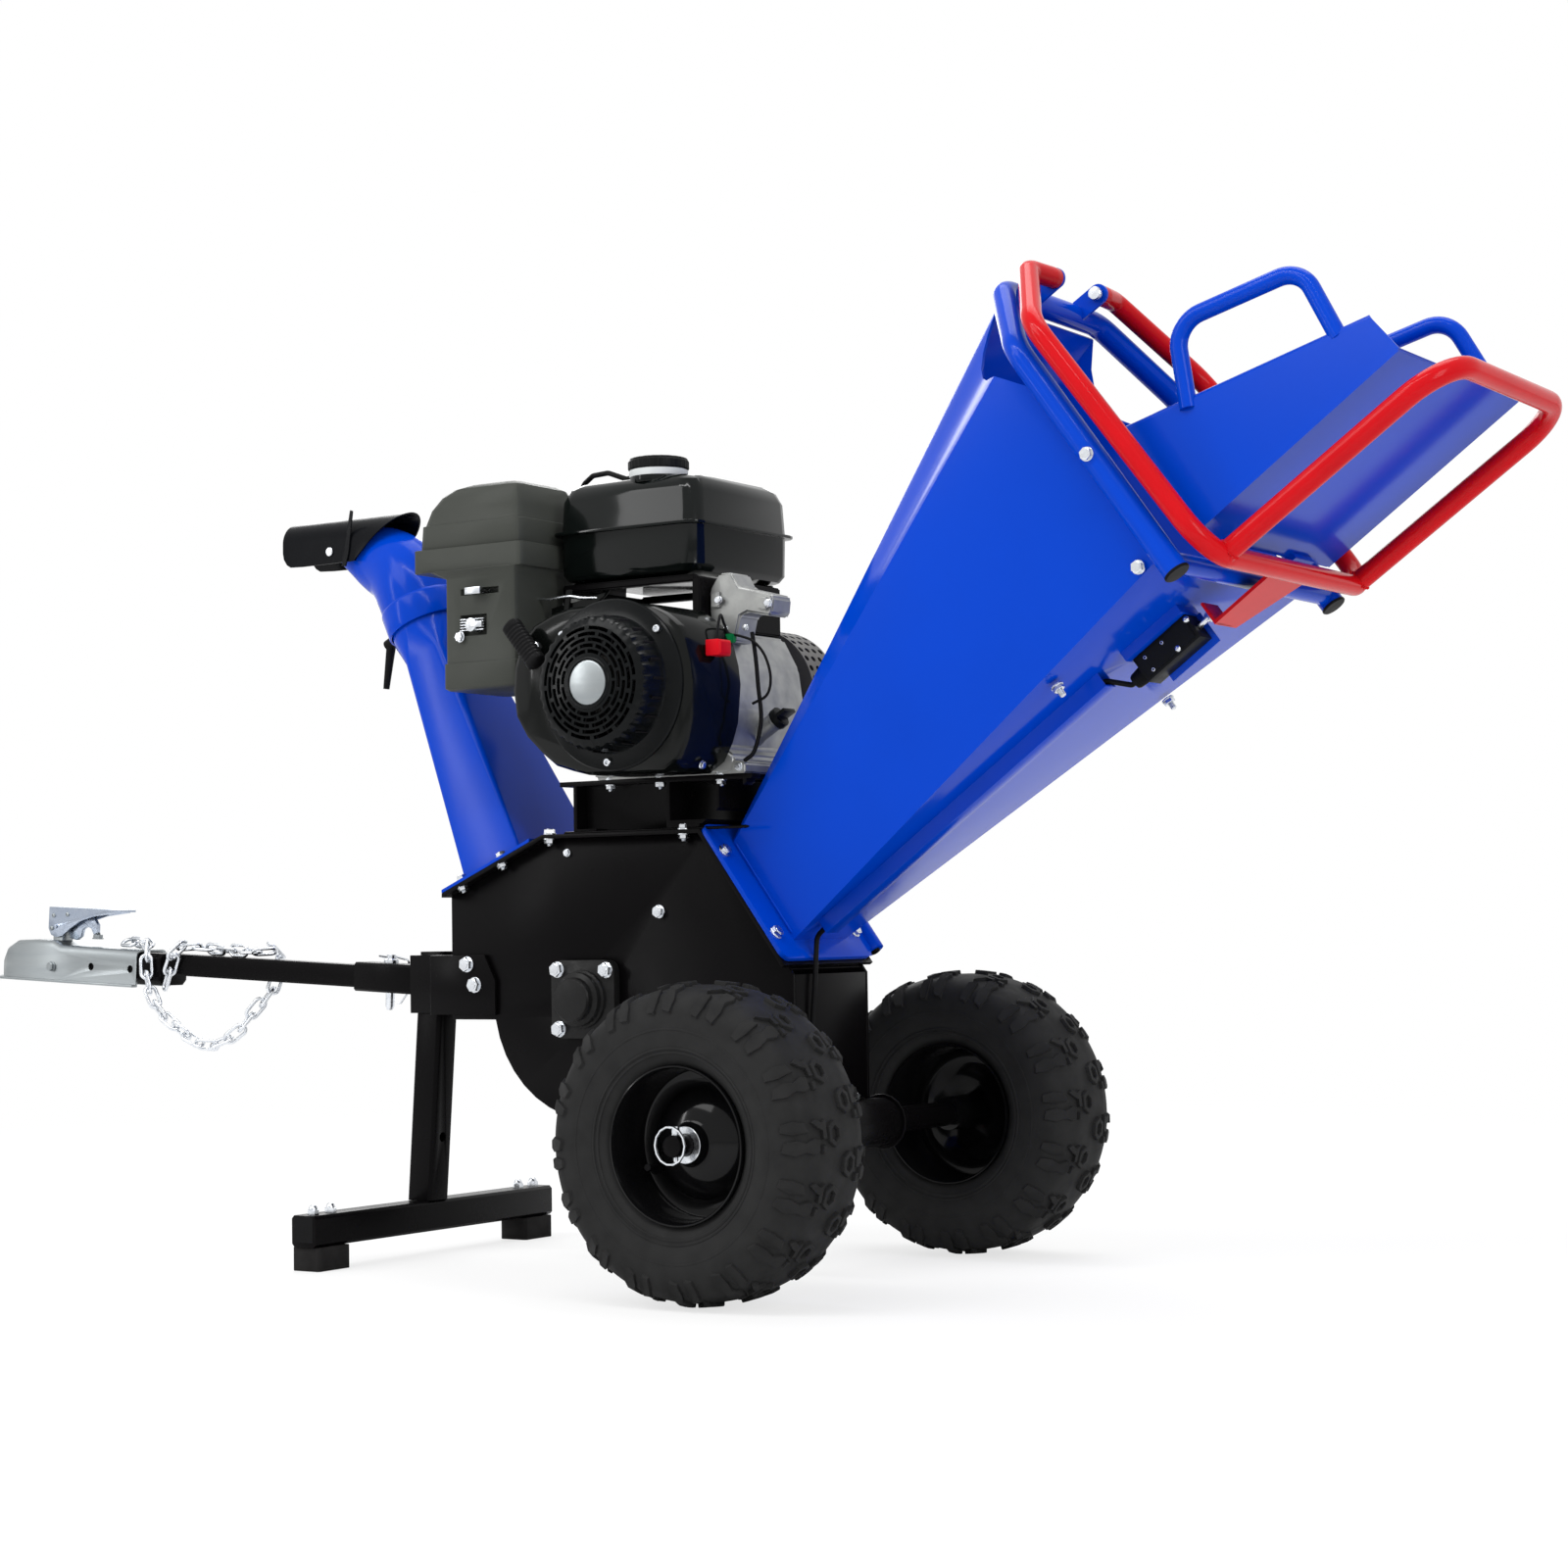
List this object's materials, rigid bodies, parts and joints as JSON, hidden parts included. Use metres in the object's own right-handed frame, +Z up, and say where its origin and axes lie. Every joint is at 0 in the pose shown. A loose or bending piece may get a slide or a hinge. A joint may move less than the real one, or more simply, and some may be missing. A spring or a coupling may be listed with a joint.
{
  "type": "drum wood chipper",
  "caption": "Towed petrol wood chipper with a feed hopper, folding tray, safety bar, belt-driven knife drum and a swivelling discharge chute.",
  "frame": {"origin": "centre of the footprint's bounding box on the ground", "axes": "+X towards the feed hopper, -Y towards the side with the recoil starter, +Z up from the ground"},
  "size_m": [2.3222, 0.7466, 1.173],
  "materials": {
    "housing_black": "semi-gloss black powder coat",
    "frame_black": "satin black powder coat",
    "feed_blue": "gloss blue powder coat",
    "chute_blue": "gloss blue powder coat",
    "bar_red": "gloss red powder coat",
    "zinc_plate": "bright zinc plate",
    "coupler_zinc": "dull zinc plate on pressed steel",
    "tool_steel": "ground tool steel",
    "drum_steel": "bare mild steel with mill scale",
    "bearing_cast": "painted cast iron",
    "tyre_rubber": "matt moulded rubber",
    "pad_rubber": "matt rubber",
    "belt_rubber": "fabric-faced rubber",
    "rim_black": "gloss black paint",
    "cast_aluminium": "as-cast aluminium",
    "engine_black": "gloss black paint",
    "recoil_black": "gloss black paint",
    "tank_black": "gloss black paint",
    "filter_grey": "fine-grained dark grey plastic",
    "cap_grey": "dark grey plastic",
    "guard_grey": "grey painted sheet",
    "muffler_black": "heat-proof matt black",
    "hood_black": "semi-gloss black paint",
    "grip_black": "black moulded plastic",
    "switch_red": "gloss red plastic",
    "limit_switch_black": "black moulded housing",
    "cable_black": "black sheath"
  },
  "bodies": {
    "machine": {"housing_side_near": "housing_black", "housing_side_far": "housing_black", "housing_scroll": "housing_black", "top_deck": "housing_black", "rear_wall": "housing_black", "axle_beam": "frame_black", "engine_riser": "frame_black", "bed_knife": "tool_steel", "bearing_near": "bearing_cast", "bearing_far": "bearing_cast", "drive_belt": "belt_rubber", "belt_guard": "guard_grey", "lynch_pin_near": "zinc_plate", "lynch_pin_far": "zinc_plate", "support_leg": "frame_black", "foot_bar": "frame_black", "foot_pad_near": "pad_rubber", "foot_pad_far": "pad_rubber", "tongue_bracket": "frame_black", "receiver_tube": "frame_black", "tow_tube": "frame_black", "hitch_pin": "zinc_plate", "coupler_body": "coupler_zinc", "safety_chain": "zinc_plate", "chute_duct": "chute_blue", "crankcase": "cast_aluminium", "cylinder_head": "cast_aluminium", "fan_shroud": "engine_black", "recoil_cover": "recoil_black", "fuel_tank": "tank_black", "air_cleaner_cover": "filter_grey", "air_cleaner_base": "filter_grey", "muffler": "muffler_black", "fuel_vent_hose": "cable_black"},
    "wheel_near": {"tyre_near": "tyre_rubber", "rim_near": "rim_black"},
    "wheel_far": {"tyre_far": "tyre_rubber", "rim_far": "rim_black"},
    "drum": {"drum_rotor": "drum_steel", "drum_knife_a": "tool_steel", "drum_knife_b": "tool_steel", "drum_pulley": "bearing_cast"},
    "crank": {"clutch_pulley": "bearing_cast"},
    "hopper": {"feed_hopper": "feed_blue", "mouth_frame": "feed_blue", "limit_switch": "limit_switch_black", "switch_cable": "cable_black"},
    "tray": {"feed_tray": "feed_blue"},
    "bar": {"safety_bar": "bar_red"},
    "plunger": {"switch_plunger": "zinc_plate"},
    "elbow": {"chute_elbow": "chute_blue"},
    "clamp": {"chute_clamp_lever": "grip_black"},
    "hood": {"deflector_hood": "hood_black"},
    "latch": {"coupler_latch": "zinc_plate"},
    "tank_cap": {"fuel_cap": "cap_grey"},
    "oil_cap": {"oil_filler_cap": "cap_grey"},
    "choke": {"choke_lever": "zinc_plate"},
    "fuel_valve": {"fuel_valve_lever": "zinc_plate"},
    "starter_handle": {"recoil_handle": "grip_black"},
    "stop_switch": {"engine_switch": "switch_red"}
  },
  "joints": [
    {"name": "wheel_near_spin", "type": "hinge", "parent": "machine", "child": "wheel_near", "pos_m": [0.2995, -0.2985, 0.182], "axis": [0, 1, 0], "continuous": true},
    {"name": "wheel_far_spin", "type": "hinge", "parent": "machine", "child": "wheel_far", "pos_m": [0.2995, 0.2985, 0.182], "axis": [0, 1, 0], "continuous": true},
    {"name": "drum_spin", "type": "hinge", "parent": "machine", "child": "drum", "pos_m": [-0.0235, 0, 0.337], "axis": [0, 1, 0], "continuous": true},
    {"name": "crank_spin", "type": "hinge", "parent": "machine", "child": "crank", "pos_m": [0.1049, 0, 0.7145], "axis": [0, 1, 0], "continuous": true},
    {"name": "hopper_swing", "type": "hinge", "parent": "machine", "child": "hopper", "pos_m": [0.22115, 0.1165, 0.46222], "axis": [-0.5878, 0, 0.809], "range_deg": [0, 75]},
    {"name": "tray_fold", "type": "hinge", "parent": "hopper", "child": "tray", "pos_m": [0.85862, 0, 0.82031], "axis": [0, -1, 0], "range_deg": [0, 78]},
    {"name": "bar_press", "type": "hinge", "parent": "hopper", "child": "bar", "pos_m": [0.63355, 0, 1.15986], "axis": [0, 1, 0], "range_deg": [0, 1]},
    {"name": "plunger_slide", "type": "slide", "parent": "hopper", "child": "plunger", "axis": [-0.809, 0, -0.5878], "range_m": [0, 0.0076]},
    {"name": "chute_swivel", "type": "hinge", "parent": "machine", "child": "elbow", "pos_m": [-0.343, 0, 0.829], "axis": [-0.4067, 0, 0.9135], "range_deg": [-100, 100]},
    {"name": "clamp_turn", "type": "hinge", "parent": "elbow", "child": "clamp", "pos_m": [-0.41068, 0, 0.8131], "axis": [-0.9135, 0, -0.4067], "range_deg": [-60, 60]},
    {"name": "hood_tilt", "type": "hinge", "parent": "elbow", "child": "hood", "pos_m": [-0.4875, 0, 0.94], "axis": [0, -1, 0], "range_deg": [0, 38]},
    {"name": "latch_lift", "type": "hinge", "parent": "machine", "child": "latch", "pos_m": [-1.03929, 0, 0.44115], "axis": [0, -1, 0], "range_deg": [0, 70]},
    {"name": "fuel_cap_turn", "type": "hinge", "parent": "machine", "child": "tank_cap", "pos_m": [0.0755, -0.058, 0.9925], "axis": [0, 0, 1], "range_deg": [0, 90]},
    {"name": "oil_cap_turn", "type": "hinge", "parent": "machine", "child": "oil_cap", "pos_m": [0.21963, -0.02, 0.67542], "axis": [0.8601, 0, 0.5101], "range_deg": [0, 180]},
    {"name": "choke_slide", "type": "slide", "parent": "machine", "child": "choke", "axis": [1, 0, 0], "range_m": [-0.017, 0.017]},
    {"name": "fuel_valve_turn", "type": "hinge", "parent": "machine", "child": "fuel_valve", "pos_m": [-0.132, -0.1695, 0.8055], "axis": [0, 1, 0], "range_deg": [0, 90]},
    {"name": "starter_pull", "type": "slide", "parent": "machine", "child": "starter_handle", "axis": [0, -1, 0], "range_m": [0, 0.05], "stiffness_N_per_m": 60},
    {"name": "stop_switch_turn", "type": "hinge", "parent": "machine", "child": "stop_switch", "pos_m": [0.22, -0.158, 0.754], "axis": [1, 0, 0], "range_deg": [0, 60]}
  ],
  "couplings": [
    {"joint": "crank_spin", "follows": "drum_spin", "ratio": 1.4348},
    {"joint": "plunger_slide", "follows": "bar_press", "m_per_rad": 0.4255}
  ]
}
